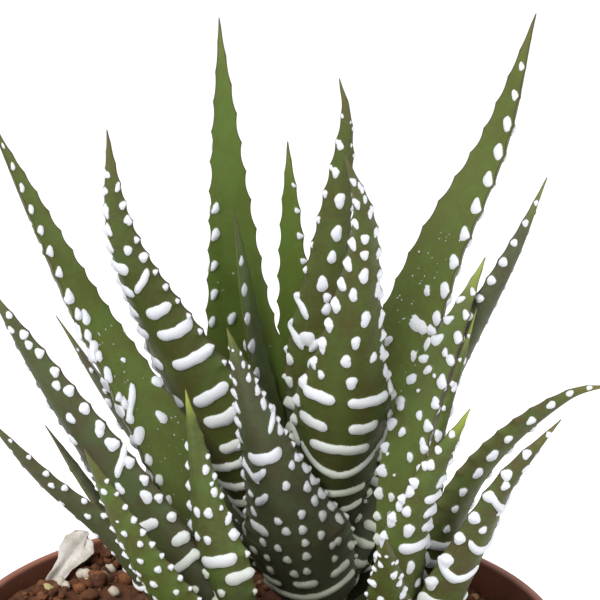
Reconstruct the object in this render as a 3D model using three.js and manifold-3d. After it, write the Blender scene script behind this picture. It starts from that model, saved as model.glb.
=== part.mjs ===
// Potted haworthia: a clump of three leafy heads in a round plastic pot.
// Millimetres, +Z up. The origin is the centre of the pot's flat underside and the front faces -Y.
import * as THREE from "three";
import { mergeVertices } from "three/addons/utils/BufferGeometryUtils.js";
import Module from "manifold-3d";

const wasm = await Module();
wasm.setup();

// Clearance between pieces that touch on the real plant.
const GAP = 0.3;

// Pot: a tapered wall under a straight collar, with a thin lip.
const POT_HEIGHT = 75;
const RIM_RADIUS = 42.5;
const COLLAR_HEIGHT = 9;
const COLLAR_STEP = 1.1;
const COLLAR_FLARE = 0.7;
const COLLAR_SLOPE = 2;
const BASE_RADIUS = 30;
const BASE_EDGE = 1.2;
const WALL = 1.4;
const FLOOR = 1.6;
const LIP_ROUND = 0.4;
const POT_SIDES = 44;
const DRAIN_HOLES = 5;
const DRAIN_RADIUS = 3.2;
const DRAIN_CIRCLE = 19;
const DRAIN_SIDES = 10;
const DRILL_PAST = 1;

// Soil: filled to a few millimetres under the lip, heaped higher at the left. Waves of two
// lengths, in radians per millimetre, make its surface uneven.
const SOIL_TOP = 70.9;
const SOIL_HEAP = 2.2;
const SOIL_HEAP_FROM = 5;
const SOIL_HEAP_TO = 32;
const SOIL_LUMP = 0.45;
const SOIL_WAVE = 0.4;
const SOIL_SWELL = 0.27;
const SOIL_PHASE = 1.3;
const SOIL_RINGS = 8;
const SOIL_SIDES = 40;
const SOIL_SEED = 4711;

// Grit: how far its centre stands out of the soil and how squashed it may be, as shares of its
// size, and between which shares of the soil's area it is strewn.
const GRIT_COUNT = 38;
const GRIT_SMALLEST = 0.8;
const GRIT_LARGEST = 1.4;
const GRIT_STAND = 0.3;
const GRIT_NARROWEST = 0.75;
const GRIT_FLATTEST = 0.7;
const GRIT_HIGHEST = 0.9;
const GRIT_FROM = 0.3;
const GRIT_TO = 0.88;
// The larger stones: x, y and radius.
const STONES = [
  [-22, 28, 1.25], [-25.2, 24.2, 0.95], [-22.8, 22.6, 1.15], [-28.8, 22.8, 0.9], [-30.5, 17.5, 1.1],
  [27, -22, 1.2], [31.5, 9.5, 1], [-12, -30, 1.3], [12, 33, 1.2], [-33, -8, 1.1],
];

// Dry scrap: a papery remnant that leans up out of the soil at the left.
const SCRAP_FOOT = new THREE.Vector3(-30.4, 24.6, 72);
const SCRAP_TOP = new THREE.Vector3(-25.2, 26.6, 79.2);
const SCRAP_ACROSS = new THREE.Vector3(-0.82, 0.24, 0.52);
const SCRAP_WIDTHS = [2.2, 2.4, 2.6, 4.4, 5, 3.4];
const SCRAP_THICKNESS = 0.8;
const SCRAP_BEND = 0.9;
const SCRAP_BEND_ANGLE = 1.4 * Math.PI;
const SCRAP_CUP = 0.5;
const SCRAP_SECTION = [[-1, -1], [0, -1], [1, -1], [1, 1], [0, 1], [-1, 1]];

// Leaves: tubercle rows and margin teeth are raised on every second ring, up to the smooth tip.
// They reach their full height where half the leaf's width is FULL_RELIEF_HALF or more.
const RING_STEP = 3;
const ROW_LOWEST = 0.28;
const ROW_HIGHEST = 0.6;
const ROWS_END = 0.97;
const TOOTH = 0.4;
const FULL_RELIEF_HALF = 2;
const LEAF_SEED = 131;

// Width: the base's share of it, where the leaf is widest and how it draws in from there.
const TIP_SIZE = 0.6;
const BASE_SHARE = 0.7;
const WIDEST_AT = 0.36;
const TAPER = 1.45;

// Depth: its share of the width, less at the base, and how it draws in to the tip.
const DEPTH_SHARE = 0.36;
const DEPTH_AT_BASE = 0.8;
const DEPTH_FULL_AT = 0.3;
const DEPTH_TAPER = 1.7;
// The share of the depth that lies on the inner side of the leaf's line.
const DEPTH_INSIDE = 0.4;
// Where in the stem's radius and in its own depth a leaf starts.
const START_IN_STEM = 0.6;
const START_IN_LEAF = 0.5;

// A leaf's section: across from margin to margin, and out towards the outer face.
const SECTION = [
  [-1, 0], [0, -0.12], [1, 0], [0.78, 0.5], [0.42, 0.88], [0, 1], [-0.42, 0.88], [-0.78, 0.5],
];
const FIRST_OUTER_POINT = 3;

// Heads: where each short stem stands, how thick it is and how high it ends.
const STEM_FOOT = 52;
const STEM_SIDES = 12;
const STEM_TAPER = 12;
const STEM_TOP_SHARE = 0.45;
const STEM_TIP_SHARE = 0.27;
const STEM_ROUND = 1;
const STEM_STEPS = 3;
const HEADS = {
  main: { x: 8.5, y: 11, radius: 4, top: 93 },
  right: { x: 18, y: -7, radius: 3, top: 84 },
  left: { x: -2, y: -8, radius: 3, top: 83 },
};

// Leaves, innermost first within each head. Base is the height on the stem and faces the direction in
// plan of the outer face, in degrees (0 is +X, 90 is +Y). The line holds the places that the leaf
// passes on its way from the stem, the tip last.
const LEAVES = {
  main: [
    {
      name: "centre", base: 90, faces: 100, width: 4.6,
      line: [[5.1, 15, 116], [4, 18, 142]],
    },
    {
      name: "inner_front", base: 90, faces: -80, width: 8.6, taper: 0.85,
      line: [[8.5, 9.5, 114], [10.5, 8.5, 132.5], [12, 7.5, 149], [11, 7, 154.5]],
    },
    {
      name: "young", base: 91, faces: 30, width: 4,
      line: [[11, 13.5, 104], [12.5, 14.5, 116.5]],
    },
    {
      name: "slim_back", base: 87, faces: 150, width: 4,
      line: [[0, 15, 108.5], [-3.5, 16, 132.5]],
    },
    {
      name: "tall_back", base: 85, faces: 115, width: 11.3, taper: 0.75,
      line: [[-1.9, 18, 107], [-4.4, 22, 130], [-5.5, 24, 158]],
    },
    {
      name: "broad_front", base: 87, faces: -85, width: 12.6, taper: 0.6, widest: 0.4,
      line: [[11.5, -1, 108], [13.3, -8, 126], [14.1, -14, 142], [11.5, -18, 152]],
    },
    {
      name: "tall_right", base: 82, faces: 40, width: 11.5, taper: 1,
      line: [[25.3, 20, 123.5], [33.3, 23.5, 140], [38.5, 26, 158]],
    },
    {
      name: "banded_left", base: 83, faces: 243, width: 12.4, taper: 0.85,
      line: [[-11.8, 1.5, 118.4], [-18.5, -5, 136.5], [-19.7, -9, 152.5]],
    },
    {
      name: "slim_right", base: 79, faces: -50, width: 7.5, taper: 1,
      line: [[24.5, 7, 108.5], [34.8, 2, 131.5], [39, 1, 142.5]],
    },
    {
      name: "low_front", base: 78, faces: 264, width: 14.5, taper: 0.65, widest: 0.25,
      line: [[3, -2.5, 98], [0, -7.5, 109.6], [-4, -14, 126.5]],
    },
    {
      name: "under_left", base: 77, faces: 185, width: 5.5,
      line: [[-13.5, 7, 97.5], [-28, 8, 120]],
    },
    {
      name: "back", base: 80, faces: 88, width: 10,
      line: [[8.5, 30, 94], [9.5, 42, 113]],
    },
    {
      name: "back_right", base: 78, faces: 45, width: 8,
      line: [[19, 21, 86], [26.5, 29, 95]],
    },
    {
      name: "back_left", base: 77, faces: 148, width: 9,
      line: [[-5, 21, 89], [-17, 29, 103]],
    },
    {
      name: "low_back", base: 74, faces: 112, width: 9,
      line: [[3, 27, 83], [-2.5, 40, 96]],
    },
    {
      name: "low_right", base: 75, faces: 20, width: 7,
      line: [[20, 15, 80.5], [29, 18, 87]],
    },
  ],
  right: [
    {
      name: "inner_back", base: 79, faces: 52, width: 7,
      line: [[21, -2, 106], [27, 1, 121], [31, 4, 130]],
    },
    {
      name: "inner_front", base: 78, faces: -8, width: 4.5,
      line: [[23.3, -9.5, 104.5], [29.5, -5, 126]],
    },
    {
      name: "front", base: 76, faces: -74, width: 6.8, taper: 1.1,
      line: [[20.5, -16.5, 99.1], [28, -24, 119]],
    },
    {
      name: "arching", base: 74, faces: -40, width: 7,
      line: [[28.8, -10, 102.7], [41.5, -13, 116.3], [47, -14, 118.3]],
    },
    {
      name: "low_right", base: 72.5, faces: -58, width: 6.6, taper: 1.1,
      line: [[29.4, -16, 97], [33.2, -20, 106.7], [40, -24, 117.5]],
    },
    {
      name: "small_front", base: 75, faces: -92, width: 6,
      line: [[17.5, -20, 88], [17, -30, 103]],
    },
    {
      name: "back", base: 75, faces: 70, width: 6.5,
      line: [[22, 4, 84], [25.5, 14, 96]],
    },
  ],
  left: [
    {
      name: "inner", base: 79, faces: 250, width: 7.5, taper: 0.7,
      line: [[-6.7, -14, 99.5], [-9.5, -17, 119]],
    },
    {
      name: "far_left", base: 79, faces: 145, width: 9.8, taper: 0.85,
      line: [[-11.2, -5, 101.5], [-24.5, -1, 126], [-36.5, 3, 151]],
    },
    {
      name: "long", base: 77, faces: 235, width: 9, taper: 1.15,
      line: [[-20.7, -13, 107], [-27.4, -14.5, 118.5], [-36, -16, 134]],
    },
    {
      name: "low", base: 72.5, faces: 218, width: 6.2,
      line: [[-19.8, -14, 96.3], [-28.5, -16.5, 105.8], [-36.5, -19, 116.5]],
    },
    {
      name: "small", base: 75, faces: 178, width: 4.2,
      line: [[-18, -6, 92], [-29, -5, 109]],
    },
    {
      name: "short", base: 74, faces: 250, width: 5.2,
      line: [[-15, -20.5, 95.6], [-22.5, -28, 115]],
    },
    {
      name: "back", base: 75, faces: 120, width: 7,
      line: [[-9, 6, 83], [-16, 17, 95]],
    },
    {
      name: "low_back", base: 73, faces: 160, width: 6.5,
      line: [[-13, 0, 82], [-23, 8, 92]],
    },
  ],
};

// Colour and roughness of each kind of piece.
const FINISHES = {
  leaf: [0x5d7040, 0.5],
  stem: [0x8a8a4e, 0.8],
  soil: [0x5a3b28, 1],
  pot: [0x84503d, 0.6],
  scrap: [0xe8e0d2, 0.9],
};

const DEGREE = Math.PI / 180;
const WELD_WITHIN = 1e-4;
const RANDOM_FACTOR = 16807;
const RANDOM_RANGE = 2147483647;

// The same draw of random numbers on every run.
function randomFrom(seed) {
  let state = seed;
  return () => {
    state = (state * RANDOM_FACTOR) % RANDOM_RANGE;
    return state / RANDOM_RANGE;
  };
}

function mix(from, to, share) {
  return from + (to - from) * share;
}

function smooth(from, to, value) {
  const share = Math.min(Math.max((value - from) / (to - from), 0), 1);
  return share * share * (3 - 2 * share);
}

// Geometry and solid, back and forth.
function solidOf(geometry) {
  const plain = geometry.clone();
  plain.deleteAttribute("normal");
  plain.deleteAttribute("uv");
  const welded = mergeVertices(plain, WELD_WITHIN);
  return new wasm.Manifold(new wasm.Mesh({
    numProp: 3,
    vertProperties: new Float32Array(welded.attributes.position.array),
    triVerts: new Uint32Array(welded.index.array),
  }));
}

function geometryOf(solid) {
  const mesh = solid.getMesh();
  const geometry = new THREE.BufferGeometry();
  geometry.setAttribute("position", new THREE.BufferAttribute(new Float32Array(mesh.vertProperties), 3));
  geometry.setIndex(new THREE.BufferAttribute(new Uint32Array(mesh.triVerts), 1));
  return geometry;
}

function largestBody(solid) {
  const bodies = solid.decompose();
  bodies.sort((one, other) => other.volume() - one.volume());
  return bodies[0];
}

function turned(profile, sides) {
  const geometry = new THREE.LatheGeometry(profile.map(([x, z]) => new THREE.Vector2(x, z)), sides);
  geometry.rotateX(Math.PI / 2);
  return geometry;
}

// A closed skin over rings of points, the same number in each ring, with a fan at both ends.
function skinned(rings) {
  const count = rings[0].length;
  const places = rings.flat().flatMap((point) => point.toArray());
  const faces = [];
  for (let ring = 0; ring < rings.length - 1; ring += 1) {
    for (let side = 0; side < count; side += 1) {
      const next = (side + 1) % count;
      const here = ring * count;
      const there = here + count;
      faces.push(here + side, here + next, there + next);
      faces.push(here + side, there + next, there + side);
    }
  }
  const last = (rings.length - 1) * count;
  for (let side = 1; side < count - 1; side += 1) {
    faces.push(0, side + 1, side);
    faces.push(last, last + side, last + side + 1);
  }
  const geometry = new THREE.BufferGeometry();
  geometry.setAttribute("position", new THREE.Float32BufferAttribute(places, 3));
  geometry.setIndex(faces);
  return geometry;
}

// The line that a leaf follows, with its frame: along the leaf, across it and out of its outer face.
function leafLine(head, leaf) {
  const side = leaf.faces * DEGREE;
  const faces = new THREE.Vector3(Math.cos(side), Math.sin(side), 0);
  const start = stemRadius(head, leaf.base) * START_IN_STEM + leafDepth(leaf, 0) * START_IN_LEAF;
  const foot = new THREE.Vector3(head.x, head.y, leaf.base).addScaledVector(faces, start);
  const curve = new THREE.CatmullRomCurve3([foot, ...leaf.line.map((place) => new THREE.Vector3(...place))]);
  const steps = Math.round(curve.getLength() / RING_STEP);
  return Array.from({ length: steps + 1 }, (_, step) => {
    const along = step / steps;
    const forward = curve.getTangentAt(along);
    const outward = faces.clone().addScaledVector(forward, -faces.dot(forward)).normalize();
    return { along, point: curve.getPointAt(along), across: outward.clone().cross(forward), outward };
  });
}

// Half the leaf's width, and its depth from face to face, at a share of its length.
function leafHalf(leaf, along) {
  const widest = leaf.widest ?? WIDEST_AT;
  const half = leaf.width / 2;
  if (along < widest) {
    return half * mix(BASE_SHARE, 1, Math.sin((along / widest) * Math.PI / 2)) + TIP_SIZE / 2;
  }
  return half * (1 - Math.pow((along - widest) / (1 - widest), leaf.taper ?? TAPER)) + TIP_SIZE / 2;
}

function leafDepth(leaf, along) {
  const full = leaf.width * DEPTH_SHARE * mix(DEPTH_AT_BASE, 1, smooth(0, DEPTH_FULL_AT, along));
  return full * (1 - Math.pow(along, DEPTH_TAPER)) + TIP_SIZE;
}

// A stem is thinner in its top part, where the youngest leaves stand.
function stemRadius(head, height) {
  return head.radius * mix(1, STEM_TOP_SHARE, smooth(head.top - STEM_TAPER, head.top, height));
}

// One leaf. Room is added all round when the leaf is used to clear its neighbours.
function leafSolid(head, leaf, room = 0) {
  const random = randomFrom(Math.round(LEAF_SEED * (leaf.base + leaf.width)));
  const rings = leafLine(head, leaf).map(({ along, point, across, outward }, step) => {
    const half = leafHalf(leaf, along) + room;
    const deep = leafDepth(leaf, along);
    const raised = step % 2 === 1 && along < ROWS_END;
    const relief = raised ? Math.min(half / FULL_RELIEF_HALF, 1) : 0;
    return SECTION.map(([side, out], index) => {
      const outer = index >= FIRST_OUTER_POINT;
      const bump = outer ? relief * mix(ROW_LOWEST, ROW_HIGHEST, random()) : 0;
      const tooth = Math.abs(side) === 1 ? relief * TOOTH : 0;
      const lift = (out - DEPTH_INSIDE) * deep + bump + (outer ? room : -room);
      return point.clone().addScaledVector(across, side * (half + tooth)).addScaledVector(outward, lift);
    });
  });
  return solidOf(skinned(rings));
}

function stemSolid(head, room = 0) {
  const profile = [[0, STEM_FOOT - room], [head.radius + room, STEM_FOOT - room]];
  for (let step = 0; step <= STEM_STEPS; step += 1) {
    const height = mix(head.top - STEM_TAPER, head.top - STEM_ROUND, step / STEM_STEPS);
    profile.push([stemRadius(head, height) + room, height]);
  }
  profile.push([head.radius * STEM_TIP_SHARE + room, head.top + room], [0, head.top + room]);
  const geometry = turned(profile, STEM_SIDES);
  geometry.translate(head.x, head.y, 0);
  return solidOf(geometry);
}

// The pot's wall: where the taper ends under the collar, and the radii there.
const TAPER_TOP = POT_HEIGHT - COLLAR_HEIGHT;
const COLLAR_FOOT = RIM_RADIUS - COLLAR_FLARE;
const WALL_TOP = COLLAR_FOOT - COLLAR_STEP;
const COLLAR_INSIDE = TAPER_TOP + COLLAR_SLOPE;

// Radius of the pot's inner face at a height.
function insideRadius(height) {
  if (height <= TAPER_TOP) {
    return mix(BASE_RADIUS, WALL_TOP, height / TAPER_TOP) - WALL;
  }
  if (height <= COLLAR_INSIDE) {
    return mix(WALL_TOP, COLLAR_FOOT, (height - TAPER_TOP) / (COLLAR_INSIDE - TAPER_TOP)) - WALL;
  }
  return mix(COLLAR_FOOT, RIM_RADIUS, (height - COLLAR_INSIDE) / (POT_HEIGHT - COLLAR_INSIDE)) - WALL;
}

function potSolid() {
  const inside = [POT_HEIGHT - LIP_ROUND, COLLAR_INSIDE, TAPER_TOP, FLOOR];
  let pot = solidOf(turned([
    [0, 0], [BASE_RADIUS - BASE_EDGE, 0], [BASE_RADIUS, BASE_EDGE], [WALL_TOP, TAPER_TOP],
    [COLLAR_FOOT, TAPER_TOP + COLLAR_STEP / 2], [RIM_RADIUS, POT_HEIGHT - LIP_ROUND],
    [RIM_RADIUS - LIP_ROUND, POT_HEIGHT], [RIM_RADIUS - WALL + LIP_ROUND, POT_HEIGHT],
    ...inside.map((height) => [insideRadius(height), height]), [0, FLOOR],
  ], POT_SIDES));
  for (let hole = 0; hole < DRAIN_HOLES; hole += 1) {
    const angle = (hole / DRAIN_HOLES) * Math.PI * 2;
    const drill = turned([
      [0, -DRILL_PAST], [DRAIN_RADIUS, -DRILL_PAST],
      [DRAIN_RADIUS, FLOOR + DRILL_PAST], [0, FLOOR + DRILL_PAST],
    ], DRAIN_SIDES);
    drill.translate(Math.cos(angle) * DRAIN_CIRCLE, Math.sin(angle) * DRAIN_CIRCLE, 0);
    pot = pot.subtract(solidOf(drill));
  }
  return pot;
}

function soilHeight(x, y) {
  const heap = SOIL_HEAP * smooth(SOIL_HEAP_FROM, SOIL_HEAP_TO, -x);
  const wave = Math.sin(x * SOIL_WAVE + SOIL_PHASE) * Math.cos(y * SOIL_WAVE);
  const swell = Math.sin((x - y) * SOIL_SWELL + SOIL_PHASE);
  return SOIL_TOP + heap + SOIL_LUMP * (wave + swell);
}

// A stone part sunk in the soil at a place, turned and squashed by chance.
function stoneSolid(x, y, size, random) {
  const stone = new THREE.OctahedronGeometry(size);
  stone.scale(1, mix(GRIT_NARROWEST, 1, random()), mix(GRIT_FLATTEST, GRIT_HIGHEST, random()));
  stone.rotateZ(random() * Math.PI);
  stone.rotateX(random());
  stone.translate(x, y, soilHeight(x, y) + size * GRIT_STAND);
  return solidOf(stone);
}

function soilSolid() {
  const random = randomFrom(SOIL_SEED);
  const ringAt = (radius, height) => Array.from({ length: SOIL_SIDES }, (_, side) => {
    const angle = (side / SOIL_SIDES) * Math.PI * 2;
    return new THREE.Vector3(Math.cos(angle) * radius, Math.sin(angle) * radius, height);
  });
  // The wall's flat sides lie inside its circle, so the soil keeps clear of them too.
  const flat = Math.cos(Math.PI / POT_SIDES);
  const wallRing = (height) => ringAt((insideRadius(height) - GAP) * flat, height);
  const edge = (insideRadius(SOIL_TOP) - GAP) * flat;
  const rings = [wallRing(FLOOR + GAP), wallRing(TAPER_TOP), wallRing(COLLAR_INSIDE)];
  for (let ring = 0; ring < SOIL_RINGS; ring += 1) {
    const radius = edge * (1 - ring / SOIL_RINGS);
    rings.push(ringAt(radius, 0).map((point) => {
      const rough = ring === 0 ? 0 : (random() - 0.5) * SOIL_LUMP * 2;
      return point.setZ(soilHeight(point.x, point.y) + rough);
    }));
  }
  const stones = STONES.map(([x, y, size]) => stoneSolid(x, y, size, random));
  for (let grain = 0; grain < GRIT_COUNT; grain += 1) {
    const angle = random() * Math.PI * 2;
    const radius = edge * Math.sqrt(mix(GRIT_FROM, GRIT_TO, random()));
    const size = mix(GRIT_SMALLEST, GRIT_LARGEST, random());
    stones.push(stoneSolid(Math.cos(angle) * radius, Math.sin(angle) * radius, size, random));
  }
  return solidOf(skinned(rings)).add(wasm.Manifold.union(stones));
}

function scrapSolid(room = 0) {
  const along = SCRAP_TOP.clone().sub(SCRAP_FOOT).normalize();
  const out = along.clone().cross(SCRAP_ACROSS).normalize();
  const last = SCRAP_WIDTHS.length - 1;
  const rings = SCRAP_WIDTHS.map((width, step) => {
    const share = step / last;
    const longer = (2 * share - 1) * room;
    const centre = SCRAP_FOOT.clone().lerp(SCRAP_TOP, share).addScaledVector(along, longer);
    centre.addScaledVector(out, Math.sin(share * SCRAP_BEND_ANGLE) * SCRAP_BEND);
    const half = width / 2 + room;
    const thick = SCRAP_THICKNESS / 2 + room;
    return SCRAP_SECTION.map(([side, face]) => {
      const cup = side === 0 ? SCRAP_CUP : 0;
      const corner = centre.clone().addScaledVector(SCRAP_ACROSS, side * half);
      return corner.addScaledVector(out, face * thick - cup);
    });
  });
  return solidOf(skinned(rings));
}

function build() {
  const group = new THREE.Group();
  const place = (name, solid, [color, roughness]) => {
    const material = new THREE.MeshStandardMaterial({ color, roughness, metalness: 0 });
    const mesh = new THREE.Mesh(geometryOf(solid), material);
    mesh.name = name;
    group.add(mesh);
  };
  let soil = soilSolid();
  Object.entries(HEADS).forEach(([name, head]) => {
    soil = soil.subtract(stemSolid(head, GAP));
    place(`${name}_stem`, stemSolid(head), FINISHES.stem);
  });
  const stems = wasm.Manifold.union(Object.values(HEADS).map((head) => stemSolid(head, GAP)));
  const cleared = [];
  Object.entries(LEAVES).forEach(([headName, leaves]) => {
    leaves.forEach((leaf) => {
      const head = HEADS[headName];
      const grown = leafSolid(head, leaf, GAP);
      let body = leafSolid(head, leaf).subtract(stems);
      cleared.forEach((other) => {
        body = body.subtract(other);
      });
      soil = soil.subtract(grown);
      cleared.push(grown);
      place(`${headName}_leaf_${leaf.name}`, largestBody(body), FINISHES.leaf);
    });
  });
  soil = soil.subtract(scrapSolid(GAP));
  place("dry_scrap", scrapSolid(), FINISHES.scrap);
  place("soil", largestBody(soil), FINISHES.soil);
  place("pot", potSolid(), FINISHES.pot);
  return group;
}

export default build();
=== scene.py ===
"""Potted haworthia: the finished look of the plant, its soil and its pot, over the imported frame."""
import math
import random
from dataclasses import dataclass

import bmesh
import bpy
import numpy as np
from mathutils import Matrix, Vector


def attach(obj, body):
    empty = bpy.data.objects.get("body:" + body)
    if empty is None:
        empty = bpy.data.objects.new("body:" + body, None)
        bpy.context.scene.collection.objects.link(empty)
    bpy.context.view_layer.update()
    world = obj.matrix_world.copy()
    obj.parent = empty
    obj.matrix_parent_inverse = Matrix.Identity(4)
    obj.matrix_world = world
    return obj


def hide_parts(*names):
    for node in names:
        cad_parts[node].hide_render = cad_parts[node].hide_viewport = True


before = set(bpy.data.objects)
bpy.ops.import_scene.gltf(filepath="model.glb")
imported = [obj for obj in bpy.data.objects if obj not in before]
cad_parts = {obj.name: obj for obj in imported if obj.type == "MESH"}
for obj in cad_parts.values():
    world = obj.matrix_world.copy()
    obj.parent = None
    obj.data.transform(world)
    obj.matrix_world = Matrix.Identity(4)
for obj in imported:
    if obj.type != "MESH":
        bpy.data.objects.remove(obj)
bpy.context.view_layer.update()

bl_info = {
    "name": "Potted haworthia",
    "version": (1, 0, 0),
    "blender": (4, 5, 0),
    "location": "3D View > Sidebar > Haworthia",
    "description": "Builds a potted haworthia with tubercled leaves, crumbly soil and a plastic pot",
    "category": "Add Mesh",
}

# Tables of sizes are in millimetres and meshes in metres.
MM = 0.001
BODY = "root"
# Keeps a division by a length from failing.
NOTHING = 1e-12
SEED = 2027

# Pot, as in the solids.
POT_HEIGHT = 75
RIM_RADIUS = 42.5
COLLAR_HEIGHT = 9
COLLAR_STEP = 1.1
COLLAR_FLARE = 0.7
COLLAR_SLOPE = 2
BASE_RADIUS = 30
BASE_EDGE = 1.2
WALL = 1.4
FLOOR = 1.6
LIP_ROUND = 0.55
COLLAR_ROUND = 0.5
CORNER_ROUND = 1
# Innermost ring of the underside and of the pot's floor.
HUB_RADIUS = 10
WALL_RINGS = 14
ARC_POINTS = 5
LIP_POINTS = 6
# Degrees from which the pot's edges are sharp.
SHARP_FROM = 35
DRILL_SIDES = 32
DRAIN_HOLES = 5
DRAIN_RADIUS = 3.2
DRAIN_CIRCLE = 19
TAPER_TOP = POT_HEIGHT - COLLAR_HEIGHT
COLLAR_FOOT = RIM_RADIUS - COLLAR_FLARE
WALL_TOP = COLLAR_FOOT - COLLAR_STEP
COLLAR_INSIDE = TAPER_TOP + COLLAR_SLOPE
GAP = 0.3

# Soil, as in the solids.
SOIL_TOP = 70.9
SOIL_HEAP = 2.2
SOIL_HEAP_FROM = 5
SOIL_HEAP_TO = 32
SOIL_LUMP = 0.45
SOIL_WAVE = 0.4
SOIL_SWELL = 0.27
SOIL_PHASE = 1.3
# Finer unevenness of the soil's top, and the tone of the bed between its crumbs.
SOIL_ROUGH = 0.3
RUMPLE_OCTAVES = (0.9, 1.7, 3.1, 5.3)
RUMPLE_WAVES = 3
BED_TONE = 0.35
# Stones that lie apart: place and radius.
STONES = [
    (-22, 28, 1.25), (-25.2, 24.2, 0.95), (-22.8, 22.6, 1.15), (-28.8, 22.8, 0.9), (-30.5, 17.5, 1.1),
    (27, -22, 1.2), (31.5, 9.5, 1), (-12, -30, 1.3), (12, 33, 1.2), (-33, -8, 1.1),
]

# Crumbs heaped up against the wall behind the scrap.
HEAPED_CRUMBS = 130
HEAP_PLACE = (-23, 29.5)
HEAP_SPREAD = 4
HEAP_FRONT = 27.8
HEAP_HEIGHT = 3.2
HEAP_LEAST = 0.5
HEAP_MORE = 0.6

# Loose crumbs and grit. A radius is the least one and a random part of more, made smaller by the
# power. A ring is a range in shares of the soil's area. Raised is how far a lump's centre lies above
# the soil, as a share of its radius, and the most for a crumb. STONE_TONES is the step in tone from
# one stone to the next, and STEM_ROOM the room round a stem.
CRUMB_LEAST = 0.35
CRUMB_MORE = 1.0
CRUMB_POWER = 2.6
CRUMB_ROOM = 1.1
CRUMB_RING = (0.03, 1)
CRUMB_RAISED = 0.55
GRIT_COUNT = 120
GRIT_LEAST = 0.35
GRIT_MORE = 0.8
GRIT_POWER = 2
GRIT_RING = (0.15, 0.9)
GRIT_RAISED = 0.5
STONE_RAISED = 0.4
STONE_TONES = 0.37
STEM_ROOM = 1.2
# A lump's unevenness: the most waves each way, and their share of its roughness.
LUMPS = ((5, 1), (9, 0.7))
LUMP_PHASE = 6
LUMP_NARROWEST = 0.6
FINER_FROM = 0.75

# Dry scrap, as in the solids.
SCRAP_FOOT = Vector((-30.4, 24.6, 72))
SCRAP_TOP = Vector((-25.2, 26.6, 79.2))
SCRAP_ACROSS = Vector((-0.82, 0.24, 0.52))
SCRAP_WIDTHS = [2.2, 2.4, 2.6, 4.4, 5, 3.4]
SCRAP_BEND = 0.9
SCRAP_BEND_ANGLE = 1.4 * math.pi
# Waves in the scrap's width and in its fold: their height, and their angle along and across it.
SCRAP_RAGGED = ((0.05, 11, 2), (0.025, 29, 5))
SCRAP_CREASES = ((0.08, 3, 6), (0.06, 13, 2))
SCRAP_FOLD = 0.4
SCRAP_NOTCH = 0.14
SCRAP_NOTCH_PLACE = -0.45
SCRAP_NOTCH_WIDTH = 0.22
SCRAP_ROUNDED = 0.1
SCRAP_EDGE_FROM = 0.7
SCRAP_THICK = 0.14
SCRAP_THINNED = 0.5
SCRAP_THIN_POWER = 3

# Leaf shape, as in the solids.
TIP_SIZE = 0.6
BASE_SHARE = 0.7
DEPTH_SHARE = 0.36
DEPTH_AT_BASE = 0.8
DEPTH_FULL_AT = 0.3
DEPTH_TAPER = 1.7
DEPTH_INSIDE = 0.4
START_IN_STEM = 0.6
START_IN_LEAF = 0.5
STEM_TAPER = 12
STEM_TOP_SHARE = 0.45

# Fine shape of a leaf. The skin ends TIP_ROUND short of its line's end, and its tip is drawn in to
# a share of the solid's. Teeth, and the marks' height, are full where half the width is
# FULL_RELIEF_HALF or more.
TIP_ROUND = 0.3
TIP_DRAWN_IN = 0.2
TIP_DRAWN_FROM = 0.8
CURVE_SAMPLES = 60
# The least rows along a leaf, and the points over its outer face: for each skin step of its width,
# within limits.
LEAST_ROWS = 40
SECTION_POINTS = 1.25
SECTION_LEAST = 20
SECTION_MOST = 90
SECTION_ROUND = 1.4
INNER_HOLLOW = 0.05
FULL_RELIEF_HALF = 2
TOOTH_SHARPNESS = 0.8
TOOTH_FROM = 0.72
TOOTH_TALL = 1.35
TEETH_END = 0.1
# Radius of the white tubercle on a tooth: none, small, middling or large.
TOOTH_RADII = (0, 0.4, 0.62, 0.8)
# A tooth's tubercle sits off the margin by this share of its radius, on the face that the front sees.
TOOTH_INSET = 0.85
# Share of that tubercle's size left where the leaf has no width.
TOOTH_LEAST = 0.45
TOOTH_SIZES = (0.88, 1.12)
TOOTH_STRETCHES = (0.9, 1.15)
# Where the middle of the inner face lies, in the measure across a leaf, and how near to it marks go.
INNER_MIDDLE = 1.85
INNER_LIMIT = 1.6
# A mark's edge wavers by this share, in so many waves, and its dome is rounded by a power. No round
# mark stands out further than ROUNDEST of its radius.
EDGE_WAVER = 0.09
EDGE_WAVES = 3
DOME_POWER = 0.7
REACH_SPARE = 0.4
ROUNDEST = 0.7
# Marks grow smaller from SMALLER_FROM of a leaf's length to its tip. A row spans OUTER_ROUND times
# the width on the outer face, which is rounded.
SMALLER_FROM = 0.72
SMALLEST = 0.62
OUTER_ROUND = 1.2
ROW_WANDER = 0.3
DOT_WANDER = 0.05
DOT_SIZES = (0.88, 1.14)
# A chart's round marks: each one's size and how tall it is.
ROUND_MARKS = {".": (0.6, 1.1), "o": (1, 1.35), "O": (1.18, 1.55), "i": (0.85, 1.8), "I": (1.1, 1.95)}
# A chart's bars and strokes: how thick each one is, and how a stroke slants.
BARS = {"-": 1.2, "=": 1.6, "u": 1.2}
BAR_SIZES = (0.9, 1.1)
BAR_ENDS = 0.8
BAR_LEAST = 0.1
BAR_BOWS = (-0.01, 0.03)
BAR_SLANT = 0.12
CUP_BOW = 0.5
STROKES = {"/": -0.9, "`": 0.9}
STROKE_SIZE = 1.3
STROKE_HALF = 0.5
# Where a leaf has no chart: the dots' spacing, how many are full, and where and how many join.
RULED_SPACING = 2.3
RULED_FULL = 0.86
JOINED_BELOW = 0.5
JOINED_SHARE = 0.75
RULED_STEPS = (0.95, 1.12)
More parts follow.
